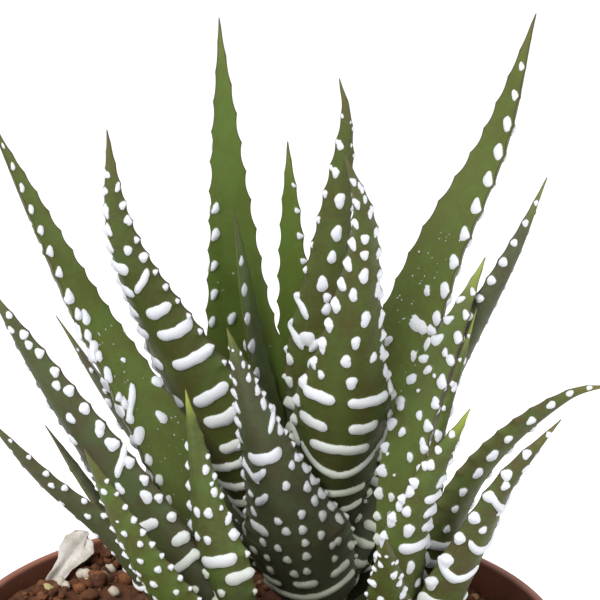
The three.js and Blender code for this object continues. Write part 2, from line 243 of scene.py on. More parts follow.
# Faint dots of the inner face.
FAINT_ALONG = (0.2, 0.6)
FAINT_ACROSS = (1.2, 1.8)
FAINT_RADIUS = 0.16
FAINT_HEIGHT = 0.06
HEADS = {
    "main": dict(x=8.5, y=11, radius=4, top=93),
    "right": dict(x=18, y=-7, radius=3, top=84),
    "left": dict(x=-2, y=-8, radius=3, top=83),
}


@dataclass
class Leaf:
    """One leaf: its place, line and width as in the solids, and then the marks that it bears.

    Faces is the direction in plan of the outer face, in degrees. The line holds the places that the
    leaf passes on its way from the stem, the tip last. A row of marks is its distance from the tip
    and its marks from the left margin to the right: chart is the outer face, inner the inner one.
    """

    name: str
    base: float
    faces: float
    width: float
    line: tuple
    taper: float = 1.45
    widest: float = 0.36
    finish: str = "green"
    # Where the margin's teeth start from the tip, their spacing, and the size of the white tubercles
    # on those of the left and right margin: none, small, middling or large.
    first: float = 4.0
    step: float = 3.4
    teeth: tuple = (1, 1)
    chart: tuple = ()
    inner: tuple = ()
    dot: float = 0.62
    # How many faint dots the inner face has.
    faint: int = 0


LEAVES = {
    "main": [
        Leaf("centre", 90, 100, 4.6, ((5.1, 15, 116), (4, 18, 142)),
             finish="fresh", first=6.3, step=3.6, teeth=(1, 0)),
        Leaf("inner_front", 90, -80, 8.6,
             ((8.5, 9.5, 114), (10.5, 8.5, 132.5), (12, 7.5, 149), (11, 7, 154.5)),
             0.85, finish="olive", first=5.6, step=3.9, teeth=(1, 1), chart=(
                 (6.4, " ."), (10, "o."), (13.7, "o "), (17.7, " O "), (22.2, " O "), (26.1, " O "),
                 (30.4, " O o"), (32, "  o o"), (34, "` o o"), (36.4, "   /o"), (38.5, "`=/ o"),
                 (42, "o == o"), (45, "o = o"), (48.5, "== ="), (52, "= =="),
             )),
        Leaf("young", 91, 30, 4, ((11, 13.5, 104), (12.5, 14.5, 116.5)), finish="fresh"),
        Leaf("slim_back", 87, 150, 4, ((0, 15, 108.5), (-3.5, 16, 132.5)),
             finish="fresh", first=7.3, step=4.1, teeth=(0, 3)),
        Leaf("tall_back", 85, 115, 11.3, ((-1.9, 18, 107), (-4.4, 22, 130), (-5.5, 24, 158)),
             0.75, finish="fresh", first=5.5, step=4.2, teeth=(0, 0), faint=20, inner=(
                 (26.7, "     o"), (30.9, "     o"), (35, "     o"), (39.3, "     o"), (43, "    o o"),
             )),
        Leaf("broad_front", 87, -85, 12.6,
             ((11.5, -1, 108), (13.3, -8, 126), (14.1, -14, 142), (11.5, -18, 152)),
             0.6, 0.4, finish="olive", first=4.5, step=3.7, teeth=(3, 2), chart=(
                 (5.5, " o"), (8, " o"), (10.6, " o"), (13.6, " o "), (16.7, " o "), (19.8, " I "),
                 (23.3, " I I"), (27.3, "  I "), (29.5, "    I"), (31.2, "  I  "), (35, "o O oI"),
                 (38.5, " o O  I"), (42, " === ====I"), (46.8, " ===  === o"), (50.8, "` ===== /"),
                 (55.4, " uuuuuuu "), (59, " ----- "), (62.5, " -- -- "),
             )),
        Leaf("tall_right", 82, 40, 11.5, ((25.3, 20, 123.5), (33.3, 23.5, 140), (38.5, 26, 158)),
             1.0, first=7.7, step=4.1, teeth=(3, 0), inner=(
                 (42, "  o  "), (46.5, "-==   "), (51, " o  o "), (56, "=  o ="),
             ), faint=70),
        Leaf("banded_left", 83, 243, 12.4, ((-11.8, 1.5, 118.4), (-18.5, -5, 136.5), (-19.7, -9, 152.5)),
             0.85, finish="olive", first=6.8, step=3.1, teeth=(3, 1), chart=(
                 (6.8, " o "), (8.7, "   o"), (9.5, " o  "), (11.5, "    o"), (12.4, " I  "),
                 (14, "    o"), (15.6, " O  "), (18.5, " O o "), (20.4, "    o"), (21.7, " ==  "),
                 (24.3, "   / "), (26, " ==   "), (29.8, " == === "), (34, " == ===="),
                 (39.3, " == ===="), (45.5, "  = === "), (49.8, " == === "), (54, " == == ="),
             )),
        Leaf("slim_right", 79, -50, 7.5, ((24.5, 7, 108.5), (34.8, 2, 131.5), (39, 1, 142.5)),
             1.0, finish="deep", first=4.0, step=3.2, teeth=(2, 1), chart=(
                 (30, " . "), (35, " o o"), (39, " o "),
             )),
        Leaf("low_front", 78, 264, 14.5, ((3, -2.5, 98), (0, -7.5, 109.6), (-4, -14, 126.5)),
             0.65, 0.25, finish="deep", first=3.6, step=2.7, teeth=(1, 1), chart=(
                 (4, "."), (6.7, "oo"), (9.2, "oo"), (11.6, "o o"), (14.2, "O O"), (17.2, "o  /"),
                 (20.2, "o   o"), (22.4, " ==== "), (26, " `/  oo"), (28.4, "o   o o"), (31, " o/   oo"),
                 (34, " o o ooo"), (36.6, " == oo oo"), (39.4, "o oo oo o"), (42, " oo oo oo "),
                 (44.8, "o o oo o o"), (47.6, " -- -- -- "),
             )),
        Leaf("under_left", 77, 185, 5.5, ((-13.5, 7, 97.5), (-28, 8, 120)), finish="deep"),
        Leaf("back", 80, 88, 10, ((8.5, 30, 94), (9.5, 42, 113))),
        Leaf("back_right", 78, 45, 8, ((19, 21, 86), (26.5, 29, 95))),
        Leaf("back_left", 77, 148, 9, ((-5, 21, 89), (-17, 29, 103)), finish="olive"),
        Leaf("low_back", 74, 112, 9, ((3, 27, 83), (-2.5, 40, 96)), finish="deep"),
        Leaf("low_right", 75, 20, 7, ((20, 15, 80.5), (29, 18, 87)), finish="deep"),
    ],
    "right": [
        Leaf("inner_back", 79, 52, 7, ((21, -2, 106), (27, 1, 121), (31, 4, 130)),
             finish="bright", first=5.1, step=3.2, teeth=(2, 2), dot=0.52, inner=(
                 (14, " o "), (17.4, " .o "), (20.4, "o . "), (23.6, " o o"), (26.6, "o o "),
                 (29.6, " o ."), (32.4, "o .o"), (35.4, " oo "), (38.4, "o o "),
             )),
        Leaf("inner_front", 78, -8, 4.5, ((23.3, -9.5, 104.5), (29.5, -5, 126)), finish="bright"),
        Leaf("front", 76, -74, 6.8, ((20.5, -16.5, 99.1), (28, -24, 119)),
             1.1, finish="bright", first=5.0, step=3.3, teeth=(2, 2), chart=(
                 (8, " ."), (11, "o "), (13.6, " O"), (16.4, "o =="), (19.4, "oo =="), (22.4, "o O =="),
                 (25.6, "O ===="), (29, "== I o"), (32.4, "I o oo"), (36, "o o o"), (39.5, "oo o"),
             )),
        Leaf("arching", 74, -40, 7, ((28.8, -10, 102.7), (41.5, -13, 116.3), (47, -14, 118.3)),
             finish="brown", first=3.0, step=2.6, teeth=(0, 0), dot=0.56, chart=(
                 (2.7, "o "), (5.5, "o "), (8.3, "o "), (11.6, " o   "), (12.8, "   o "), (15.8, " o   "),
                 (17.6, "   o "), (19.3, " O   "), (22.6, " O o "), (25.7, " o   "), (28.5, " o o "),
                 (32, " o oo"),
             )),
        Leaf("low_right", 72.5, -58, 6.6, ((29.4, -16, 97), (33.2, -20, 106.7), (40, -24, 117.5)),
             1.1, finish="brown", first=3.0, step=4.3, teeth=(3, 0), chart=(
                 (6.7, " o"), (9.3, "  o "), (13, " o o"), (17, " `/"), (21.5, " o o"), (26, " uuu"),
                 (31, "uuu "), (36, "== o"),
             )),
        Leaf("small_front", 75, -92, 6, ((17.5, -20, 88), (17, -30, 103)),
             finish="olive", chart=(
                 (3.4, "."), (5.6, "o."), (8, " o"), (10.6, "o o"), (13.4, " o o"), (16.4, "o = "),
                 (19.4, "oo o"),
             )),
        Leaf("back", 75, 70, 6.5, ((22, 4, 84), (25.5, 14, 96))),
    ],
    "left": [
        Leaf("inner", 79, 250, 7.5, ((-6.7, -14, 99.5), (-9.5, -17, 119)),
             0.7, finish="bright", first=9.0, step=3.2, teeth=(2, 1), chart=(
                 (8.5, ". "), (12.4, " o"), (14.4, "  ."), (15.8, "  o"), (18.8, " oo."), (21, "    o"),
                 (23, " oo o"), (26.4, "o === "), (29.6, "o  =="), (31.4, "  o  "), (34.4, " === "),
             )),
        Leaf("far_left", 79, 145, 9.8, ((-11.2, -5, 101.5), (-24.5, -1, 126), (-36.5, 3, 151)),
             0.85, first=5.1, step=3.1, teeth=(0, 2), dot=0.74, chart=(
                 (16, "o  ."), (20, " o o"), (24, "o o "), (27.5, "o  ` "), (32, " o o I"),
                 (35.5, "== o="), (40, "o == =="), (44, "= == ="), (49, "== ==="), (54, "=== =="),
             ), inner=(
                 (27.6, "     -"), (31, "    o "), (34.8, "     -"), (38.8, "  .  i"), (43.6, "o   /o"),
                 (48, "  o  ="),
             ), faint=60),
        Leaf("long", 77, 235, 9, ((-20.7, -13, 107), (-27.4, -14.5, 118.5), (-36, -16, 134)),
             1.15, finish="dusky", first=6.0, step=3.3, teeth=(1, 2), dot=0.55, chart=(
                 (8, "o"), (11, " o"), (14, "o "), (17.5, " o"), (20.4, "o  "), (23, "  O "),
                 (26.3, " O o"), (28.6, "   O"), (31.6, "o  /"), (35, " OI "), (38, "O  O"),
                 (41.5, "o == "), (46, "=== ="),
             )),
        Leaf("low", 72.5, 218, 6.2, ((-19.8, -14, 96.3), (-28.5, -16.5, 105.8), (-36.5, -19, 116.5)),
             finish="dusky", dot=0.42),
        Leaf("small", 75, 178, 4.2, ((-18, -6, 92), (-29, -5, 109)), finish="olive", dot=0.3, teeth=(0, 0)),
        Leaf("short", 74, 250, 5.2, ((-15, -20.5, 95.6), (-22.5, -28, 115)),
             finish="green", first=5.0, step=2.6, dot=0.5),
        Leaf("back", 75, 120, 7, ((-9, 6, 83), (-16, 17, 95))),
        Leaf("low_back", 73, 160, 6.5, ((-13, 0, 82), (-23, 8, 92)), finish="deep"),
    ],
}


@dataclass
class Mark:
    """A raised mark on a leaf's skin, in millimetres.

    Along is its distance from the leaf's foot. Across is 1 and -1 at the margins and 0 at the keel,
    and goes on over the inner face, whose middle is at INNER_MIDDLE on either side.
    """

    along: float
    across: float
    radius: float
    half: float
    height: float
    stretch: float = 1
    slant: float = 0
    bow: float = 0


def linear(red, green, blue):
    """A colour as the screen shows it, 0 to 255, turned into the renderer's own scale."""
    shares = [value / 255 for value in (red, green, blue)]
    return tuple(s / 12.92 if s <= 0.04045 else ((s + 0.055) / 1.055) ** 2.4 for s in shares)


def colour_setting(name, description, shade):
    return bpy.props.FloatVectorProperty(
        name=name, description=description, subtype="COLOR", size=3, min=0, max=1, default=shade)


def length_setting(name, description, size):
    return bpy.props.FloatProperty(
        name=name, description=description, subtype="DISTANCE", unit="LENGTH", min=0, precision=5,
        default=size * MM)


class LeafSettings(bpy.types.PropertyGroup):
    skin_step: length_setting("Skin step", "Spacing of the skin's points", 0.21)
    mark_height: length_setting("Mark height", "How far the white marks stand out", 0.42)
    tooth_height: length_setting("Tooth height", "How far the margin's teeth stand out", 0.46)
    white: colour_setting("White", "Colour of the raised marks", linear(176, 178, 183))
    shaded_white: colour_setting("Shaded white", "Colour of the marks low on a leaf", linear(158, 163, 146))


class SoilSettings(bpy.types.PropertyGroup):
    crumbs: bpy.props.IntProperty(name="Crumbs", description="Loose crumbs on the soil", min=0, default=1500)
    dark: colour_setting("Dark", "Colour of the damp crumbs", linear(54, 35, 26))
    light: colour_setting("Light", "Colour of the dry crumbs", linear(114, 74, 48))


class PotSettings(bpy.types.PropertyGroup):
    sides: bpy.props.IntProperty(name="Sides", description="Faces round the pot", min=24, default=180)
    body: colour_setting("Body", "Colour of the plastic", linear(102, 61, 45))
    worn: colour_setting("Worn", "Colour of the painted highlight on the lip", linear(146, 94, 76))


class StageSettings(bpy.types.PropertyGroup):
    camera_distance: length_setting("Camera distance", "From the camera to the rim's centre", 600)
    floor_size: length_setting("Floor size", "Side of the floor", 16000)
    key_power: bpy.props.FloatProperty(
        name="Key light", description="Power of the large soft light", unit="POWER", min=0, default=9)
    floor_colour: colour_setting("Floor", "Colour of the floor", linear(246, 246, 247))


# Meshes

def mix(start, end, share):
    return start + (end - start) * share


def smooth(start, end, value):
    share = np.clip((value - start) / (end - start), 0, 1)
    return share * share * (3 - 2 * share)


def new_piece(name, points, faces, material, attributes=None, slot=None):
    """A mesh object from points in millimetres, with float attributes on its points."""
    mesh = bpy.data.meshes.new(name)
    mesh.from_pydata((np.asarray(points) * MM).tolist(), [], faces)
    mesh.shade_smooth()
    for key, values in (attributes or {}).items():
        layer = mesh.attributes.new(key, "FLOAT", "POINT")
        layer.data.foreach_set("value", np.asarray(values, dtype=np.float32).ravel())
    mesh.materials.append(material)
    piece = bpy.data.objects.new(name, mesh)
    bpy.context.scene.collection.objects.link(piece)
    if slot:
        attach(piece, BODY)
    return piece


def grid_faces(rows, columns):
    """Quads over a grid of points whose rows are rings."""
    row, column = np.meshgrid(np.arange(rows - 1), np.arange(columns), indexing="ij")
    after = (column + 1) % columns
    corners = [row * columns + column, row * columns + after,
               (row + 1) * columns + after, (row + 1) * columns + column]
    return np.stack(corners, -1).reshape(-1, 4).tolist()


def fan_faces(first, count, centre, flip=False):
    """Triangles from a ring of points to a centre."""
    ring = [(first + k, first + (k + 1) % count) for k in range(count)]
    return [(a, b, centre) if flip else (b, a, centre) for a, b in ring]


def closed_skin(rows, columns):
    """Rings of points closed by a fan at either end, whose centres are the two points after them."""
    count = rows * columns
    ends = fan_faces(0, columns, count) + fan_faces(count - columns, columns, count + 1, flip=True)
    return grid_faces(rows, columns) + ends


# Leaf skin

def stem_radius(head, height):
    narrowed = smooth(head["top"] - STEM_TAPER, head["top"], height)
    return head["radius"] * mix(1, STEM_TOP_SHARE, narrowed)


def leaf_half(leaf, along):
    full = leaf.width / 2
    below = mix(BASE_SHARE, 1, np.sin(np.clip(along / leaf.widest, 0, 1) * math.pi / 2))
    past = np.clip((along - leaf.widest) / (1 - leaf.widest), 0, 1)
    shape = np.where(along < leaf.widest, below, 1 - past ** leaf.taper)
    return full * shape + TIP_SIZE / 2 * tip_share(along)


def leaf_depth(leaf, along):
    full = leaf.width * DEPTH_SHARE * mix(DEPTH_AT_BASE, 1, smooth(0, DEPTH_FULL_AT, along))
    return full * (1 - along ** DEPTH_TAPER) + TIP_SIZE * tip_share(along)


def tip_share(along):
    return mix(1, TIP_DRAWN_IN, smooth(TIP_DRAWN_FROM, 1, along))


def curve_through(places):
    """A centripetal Catmull-Rom curve through places, as closely spaced points."""
    places = np.array(places, dtype=float)
    ends = np.vstack([2 * places[0] - places[1], places, 2 * places[-1] - places[-2]])
    share = np.linspace(0, 1, CURVE_SAMPLES, endpoint=False)[:, None]
    stretches = []
    for before, start, end, after in zip(ends, ends[1:], ends[2:], ends[3:]):
        first = math.sqrt(np.linalg.norm(start - before))
        second = math.sqrt(np.linalg.norm(end - start))
        third = math.sqrt(np.linalg.norm(after - end))
        out = (start - before) / first - (end - before) / (first + second) + (end - start) / second
        arrive = (end - start) / second - (after - start) / (second + third) + (after - end) / third
        out, arrive = out * second, arrive * second
        bend = 3 * (end - start) - 2 * out - arrive
        turn = 2 * (start - end) + out + arrive
        stretches.append(start + share * (out + share * (bend + share * turn)))
    return np.vstack([*stretches, places[-1]])


def leaf_line(head, leaf):
    """The leaf's line, and the distance of each of its points from the foot."""
    side = math.radians(leaf.faces)
    faces = np.array([math.cos(side), math.sin(side), 0])
    depth = float(leaf_depth(leaf, np.array(0.0)))
    start = stem_radius(head, leaf.base) * START_IN_STEM + depth * START_IN_LEAF
    foot = np.array([head["x"], head["y"], leaf.base]) + faces * start
    line = curve_through([foot, *leaf.line])
    strides = np.linalg.norm(np.diff(line, axis=0), axis=1)
    return line, np.concatenate([[0], np.cumsum(strides)]), faces


def leaf_frame(line, measured, faces, places):
    """Points at distances along the leaf, with the ways forward, across it and out of its outer face."""
    points = np.stack([np.interp(places, measured, line[:, axis]) for axis in range(3)], 1)
    forward = np.gradient(points, axis=0)
    forward /= np.linalg.norm(forward, axis=1, keepdims=True)
    outward = faces - forward * (forward @ faces)[:, None]
    outward /= np.linalg.norm(outward, axis=1, keepdims=True)
    return points, forward, np.cross(outward, forward), outward


def leaf_section(leaf, step):
    """The section's places across and out, from the left margin over the outer face and back inside."""
    outer = int(np.clip(leaf.width * SECTION_POINTS / step, SECTION_LEAST, SECTION_MOST))
    inner = outer * 4 // 5
    turn = np.linspace(1, -1, outer + 1) * math.pi / 2
    back = np.sin(np.linspace(-1, 1, inner + 1)[1:-1] * math.pi / 2)
    side = np.concatenate([np.sin(turn), back])
    out = np.concatenate([np.cos(turn).clip(0) ** SECTION_ROUND, INNER_HOLLOW * (1 - back ** 2)])
    return side, out, outer


def tooth_phases(leaf):
    """How far each margin's first tooth lies from the tip: the whiter margin leads."""
    late = leaf.first + leaf.step / 2
    return (leaf.first, late) if leaf.teeth[0] >= leaf.teeth[1] else (late, leaf.first)


def tooth_reach(leaf, half, from_tip, height):
    """How far the left and the right margin stand out: sharp teeth with scoops between them."""
    full = height * np.minimum(half / FULL_RELIEF_HALF, 1)
    phases = [np.abs(np.sin(math.pi * (from_tip - first) / leaf.step)) for first in tooth_phases(leaf)]
    return [full * (1 - phase ** TOOTH_SHARPNESS) for phase in phases]


def girth_places(points, outer):
    """Each point's distance round the section from the keel, and the margins' distance."""
    strides = np.linalg.norm(np.roll(points, -1, 1) - points, axis=2)
    total = strides.sum(1, keepdims=True)
    from_left = np.cumsum(strides, 1) - strides
    keel = from_left[:, outer // 2][:, None]
    girth = keel - from_left
    half = total - (from_left[:, outer][:, None] - keel)
    girth = np.where(girth < -half / 2 - keel / 2, girth + total, girth)
    return girth, keel


def raise_marks(marks, places, girth, margin, normals):
    """How each point of the skin is raised, and how far inside or outside a white mark it lies.

    A round mark rises one way as a whole, so that it stays round on a margin. A bar follows the skin.
    """
    raised = np.zeros_like(girth)
    lift = np.zeros_like(normals)
    white = np.full_like(girth, -1.0)
    for number, mark in enumerate(marks):
        reach = mark.radius * mark.stretch + abs(mark.slant) * mark.half
        reach += abs(mark.bow) * mark.half ** 2 + REACH_SPARE
        low, high = np.searchsorted(places, (mark.along - reach, mark.along + reach))
        if high <= low:
            continue
        centre = np.interp(mark.along, places, margin[:, 0]) * mark.across
        sideways = girth[low:high] - centre
        upward = places[low:high, None] - mark.along - mark.slant * sideways - mark.bow * sideways ** 2
        past = np.maximum(np.abs(sideways) - mark.half, 0)
        uneven = 1 + EDGE_WAVER * np.sin(EDGE_WAVES * np.arctan2(upward, sideways) + number)
        away = np.hypot(past, upward / mark.stretch) / mark.radius * uneven
        dome = mark.height * (1 - np.minimum(away, 1) ** 2) ** DOME_POWER
        way = normals[low:high]
        if not mark.half:
            row = (low + high) // 2
            way = np.broadcast_to(normals[row, np.argmin(np.abs(girth[row] - centre))], way.shape)
        higher = dome > raised[low:high]
        lift[low:high][higher] = (way * dome[..., None])[higher]
        raised[low:high] = np.maximum(raised[low:high], dome)
        white[low:high] = np.maximum(white[low:high], (1 - away) * mark.radius)
    return lift, white


def row_marks(leaf, row, place, length, draw, height, inner=False):
    """The marks of one row of a leaf's chart, at a distance from its foot."""
    share = place / length
    half_width = float(leaf_half(leaf, np.array(share)))
    size = leaf.dot * mix(SMALLEST, 1, float(smooth(1, SMALLER_FROM, share)))
    high = height * min(half_width / FULL_RELIEF_HALF, 1)
    count = len(row)
    cell = 2 * half_width * (1 if inner else OUTER_ROUND) / count
    marks = []
    column = 0
    while column < count:
        kind = row[column]
        end = column
        while kind in BARS and end + 1 < count and row[end + 1] == kind:
            end += 1
        middle = 1 - (column + end + 1) / count
        if inner:
            inward = min(INNER_MIDDLE - (INNER_MIDDLE - 1) * abs(middle), INNER_LIMIT)
            middle = math.copysign(inward, middle)
        tall = place + draw.uniform(-ROW_WANDER, ROW_WANDER)
        if kind in ROUND_MARKS:
            grow, stretch = ROUND_MARKS[kind]
            radius = size * grow * draw.uniform(*DOT_SIZES)
            middle += draw.uniform(-DOT_WANDER, DOT_WANDER)
            marks.append(Mark(tall, middle, radius, 0, min(high, radius * ROUNDEST), stretch))
        elif kind in BARS:
            radius = size * BARS[kind] * draw.uniform(*BAR_SIZES)
            half = max((end - column + 1) * cell / 2 - radius * BAR_ENDS, BAR_LEAST)
            bow = CUP_BOW / half if kind == "u" else draw.uniform(*BAR_BOWS)
            slant = draw.uniform(-BAR_SLANT, BAR_SLANT)
            marks.append(Mark(tall, middle, radius, half, high, 1, slant, bow))
        elif kind in STROKES:
            half = cell * STROKE_HALF
            marks.append(Mark(tall, middle, size * STROKE_SIZE, half, high, 1, STROKES[kind]))
        column = end + 1
    return marks


def ruled_row(leaf, share, number, draw):
    """A row for a leaf's part that has no chart: dots above, joined into bands below."""
    columns = max(int(round(float(leaf_half(leaf, np.array(share))) * 2 / RULED_SPACING)), 1)
    row = ["o" if draw.random() < RULED_FULL else "." for _ in range(columns)]
    for column in range(columns - 1):
        if share < JOINED_BELOW and draw.random() < JOINED_SHARE * (1 - share):
            row[column] = "-"
            row[column + 1] = "-"
    if number % 2:
        row.append(" ")
    return "".join(row)


def leaf_marks(leaf, length, draw, settings):
    """Every mark of a leaf: its chart, ruled rows below that, its teeth and its faint inner dots."""
    height = settings.mark_height / MM
    marks = []
    for distance, row in leaf.chart:
        marks += row_marks(leaf, row, length - distance, length, draw, height)
    for distance, row in leaf.inner:
        marks += row_marks(leaf, row, length - distance, length, draw, height, inner=True)
    charted = leaf.chart[-1][0] if leaf.chart else leaf.first
    place = length - charted - leaf.step
    number = 0
    while place > 1:
        row = ruled_row(leaf, place / length, number, draw)
        marks += row_marks(leaf, row, place, length, draw, height)
        number += 1
        place -= leaf.step * draw.uniform(*RULED_STEPS)
    onto_seen_face = -1 if math.sin(math.radians(leaf.faces)) > 0 else 1
    for side, first, size in zip((1, -1), tooth_phases(leaf), leaf.teeth):
        place = length - first
        while size and place > length * TEETH_END:
            half_width = float(leaf_half(leaf, np.array(place / length)))
            fit = min(mix(TOOTH_LEAST, 1, half_width / FULL_RELIEF_HALF), 1)
            radius = TOOTH_RADII[size] * fit * draw.uniform(*TOOTH_SIZES)
            tall = TOOTH_TALL * draw.uniform(*TOOTH_STRETCHES)
            inset = onto_seen_face * radius * TOOTH_INSET / half_width
            high = min(height * fit, radius * ROUNDEST)
            marks.append(Mark(place, side * (1 - inset), radius, 0, high, tall))
            place -= leaf.step
    for _ in range(leaf.faint):
        place = length * draw.uniform(*FAINT_ALONG)
        across = draw.uniform(*FAINT_ACROSS) * draw.choice((-1, 1))
        marks.append(Mark(place, across, FAINT_RADIUS, 0, FAINT_HEIGHT))
    return marks


def leaf_piece(head_name, leaf, settings):
    """One leaf's closed skin, with toothed margins and its marks raised from it."""
    line, measured, faces = leaf_line(HEADS[head_name], leaf)
    length = measured[-1]
    step = settings.skin_step / MM
    places = np.linspace(0, length - TIP_ROUND, max(int(length / step), LEAST_ROWS) + 1)
    centre, forward, across, outward = leaf_frame(line, measured, faces, places)
    along = places / length
    side, out, outer = leaf_section(leaf, step)
    half = leaf_half(leaf, along)
    left, right = tooth_reach(leaf, half, length - places, settings.tooth_height / MM)
    reach = np.where(side[None, :] > 0, left[:, None], right[:, None]) * smooth(TOOTH_FROM, 1, np.abs(side))
    deep = (out - DEPTH_INSIDE) * leaf_depth(leaf, along)[:, None]
    smooth_skin = centre[:, None] + across[:, None] * (side * half[:, None])[..., None]
    smooth_skin = smooth_skin + outward[:, None] * deep[..., None]
    points = smooth_skin + across[:, None] * (np.sign(side) * reach)[..., None]
    round_it = np.roll(points, -1, 1) - np.roll(points, 1, 1)
    normals = np.cross(round_it, np.gradient(points, axis=0))
    normals /= np.linalg.norm(normals, axis=2, keepdims=True) + NOTHING
    girth, margin = girth_places(smooth_skin, outer)
    draw = random.Random(f"{SEED} {head_name} {leaf.name}")
    marks = leaf_marks(leaf, length, draw, settings)
    lift, white = raise_marks(marks, places, girth, margin, normals)
    points = points + lift
    rows, columns = girth.shape
    foot = centre[0] - forward[0] * GAP
    everything = np.vstack([points.reshape(-1, 3), foot, line[-1]])
    skin = closed_skin(rows, columns)
    ends = {"along": (0, 1), "edge": (0, 0), "white": (-1, -1)}
    fields = {
        "along": np.repeat(along, columns),
        "edge": (margin - np.abs(girth)).ravel(),
        "white": white.ravel(),
    }
    attributes = {key: np.append(values, ends[key]) for key, values in fields.items()}
    name = f"fine_{head_name}_leaf_{leaf.name}"
    piece = new_piece(name, everything, skin, leaf_material(leaf.finish, settings), attributes, "leaf")
    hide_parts(f"{head_name}_leaf_{leaf.name}")


# Pot

def arc(centre_x, centre_z, radius, start, end, count):
    angles = np.radians(np.linspace(start, end, count))
    return [(centre_x + radius * math.cos(a), centre_z + radius * math.sin(a)) for a in angles]


def inside_radius(height):
    if height <= TAPER_TOP:
        return mix(BASE_RADIUS, WALL_TOP, height / TAPER_TOP) - WALL
    if height <= COLLAR_INSIDE:
        return mix(WALL_TOP, COLLAR_FOOT, (height - TAPER_TOP) / COLLAR_SLOPE) - WALL
    return mix(COLLAR_FOOT, RIM_RADIUS, (height - COLLAR_INSIDE) / (POT_HEIGHT - COLLAR_INSIDE)) - WALL


def directions(sides):
    angles = np.linspace(0, 2 * math.pi, sides, endpoint=False)
    return np.stack([np.cos(angles), np.sin(angles)], 1)


def turned_piece(name, profile, sides, material, slot):
    """A closed turned piece. The profile starts and ends on the axis, counted anticlockwise."""
    ring = directions(sides)
    inner = profile[1:-1]
    points = [np.append(direction * radius, height) for radius, height in inner for direction in ring]
    points += [(0, 0, profile[0][1]), (0, 0, profile[-1][1])]
    return new_piece(name, points, closed_skin(len(inner), sides), material, None, slot)


def pot_profile():
    lip = POT_HEIGHT - LIP_ROUND
    foot = BASE_RADIUS - BASE_EDGE
    inside = [mix(COLLAR_INSIDE, lip, 0.5), COLLAR_INSIDE, TAPER_TOP, FLOOR + CORNER_ROUND]
    shares = np.linspace(0, 1, WALL_RINGS)
    wall = [(mix(BASE_RADIUS, WALL_TOP, s), mix(BASE_EDGE, TAPER_TOP, s)) for s in shares]
    return [
        (0, 0), (HUB_RADIUS, 0), (foot, 0),
        *arc(foot, BASE_EDGE, BASE_EDGE, -75, -10, ARC_POINTS),
        *wall,
        *arc(COLLAR_FOOT - COLLAR_ROUND, TAPER_TOP + COLLAR_ROUND, COLLAR_ROUND, -90, 0, ARC_POINTS),
        (mix(COLLAR_FOOT, RIM_RADIUS, 0.5), mix(TAPER_TOP, POT_HEIGHT, 0.5)),
        *arc(RIM_RADIUS - LIP_ROUND, lip, LIP_ROUND, 0, 90, LIP_POINTS),
        *arc(RIM_RADIUS - WALL + LIP_ROUND, lip, LIP_ROUND, 90, 180, LIP_POINTS),
        *[(inside_radius(height), height) for height in inside],
        *arc(inside_radius(FLOOR) - CORNER_ROUND, FLOOR + CORNER_ROUND, CORNER_ROUND, 0, -90, ARC_POINTS),
        (HUB_RADIUS, FLOOR), (0, FLOOR),
    ]


def cut(piece, cutter):
    """Cuts one piece out of another and drops the cutter."""
    modifier = piece.modifiers.new("cut", "BOOLEAN")
    modifier.operation = "DIFFERENCE"
    modifier.solver = "EXACT"
    modifier.object = cutter
    depsgraph = bpy.context.evaluated_depsgraph_get()
    made = bpy.data.meshes.new_from_object(piece.evaluated_get(depsgraph))
    piece.modifiers.clear()
    piece.data = made
    bpy.data.objects.remove(cutter)


def pot_piece(settings):
    pot = turned_piece("fine_pot", pot_profile(), settings.sides, plastic_material(settings), "pot")
    for hole in range(DRAIN_HOLES):
        angle = hole / DRAIN_HOLES * 2 * math.pi
        side = [(0, -1), (DRAIN_RADIUS, -1), (DRAIN_RADIUS, FLOOR + 1), (0, FLOOR + 1)]
        drill = turned_piece("drill", side, DRILL_SIDES, pot.data.materials[0], None)
        drill.location = (math.cos(angle) * DRAIN_CIRCLE * MM, math.sin(angle) * DRAIN_CIRCLE * MM, 0)
        bpy.context.view_layer.update()
        cut(pot, drill)
    pot.data.set_sharp_from_angle(angle=math.radians(SHARP_FROM))
    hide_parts("pot")


# Soil

def soil_height(x, y):
    heap = SOIL_HEAP * smooth(SOIL_HEAP_FROM, SOIL_HEAP_TO, -x)
    wave = np.sin(x * SOIL_WAVE + SOIL_PHASE) * np.cos(y * SOIL_WAVE)
    swell = np.sin((x - y) * SOIL_SWELL + SOIL_PHASE)
    return SOIL_TOP + heap + SOIL_LUMP * (wave + swell)


def rumple(x, y, seed):
    """A smooth uneven height between about -1 and 1, from waves in several directions."""
    draw = random.Random(seed)
    total = 0
    for octave in RUMPLE_OCTAVES:
        for _ in range(RUMPLE_WAVES):
            angle = draw.uniform(0, math.pi)
            phase = draw.uniform(0, 2 * math.pi)
            total = total + np.sin((x * math.cos(angle) + y * math.sin(angle)) * octave + phase) / octave
    return total / RUMPLE_WAVES


def soil_bed(material):
    """The soil's own body: its sides follow the pot, and its top is rumpled."""
    sides = 200
    rings = 90
    below = (FLOOR + GAP, TAPER_TOP, COLLAR_INSIDE)
    edge = inside_radius(SOIL_TOP) - GAP
    ring = directions(sides)
    points = []
    for height in below:
        radius = inside_radius(height) - GAP
        points.append(np.column_stack([ring * radius, np.full(sides, height)]))
    for number in range(rings):
        flat = ring * edge * (1 - number / rings)
        height = soil_height(flat[:, 0], flat[:, 1]) + SOIL_ROUGH * rumple(flat[:, 0], flat[:, 1], SEED)
        points.append(np.column_stack([flat, height]))
    places = np.vstack([*points, (0, 0, FLOOR + GAP), (0, 0, soil_height(0, 0))])
    faces = closed_skin(len(points), sides)
    tone = {"tone": np.full(len(places), BED_TONE)}
    bed = new_piece("soil_bed", places, faces, material, tone, "soil")
    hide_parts("soil")


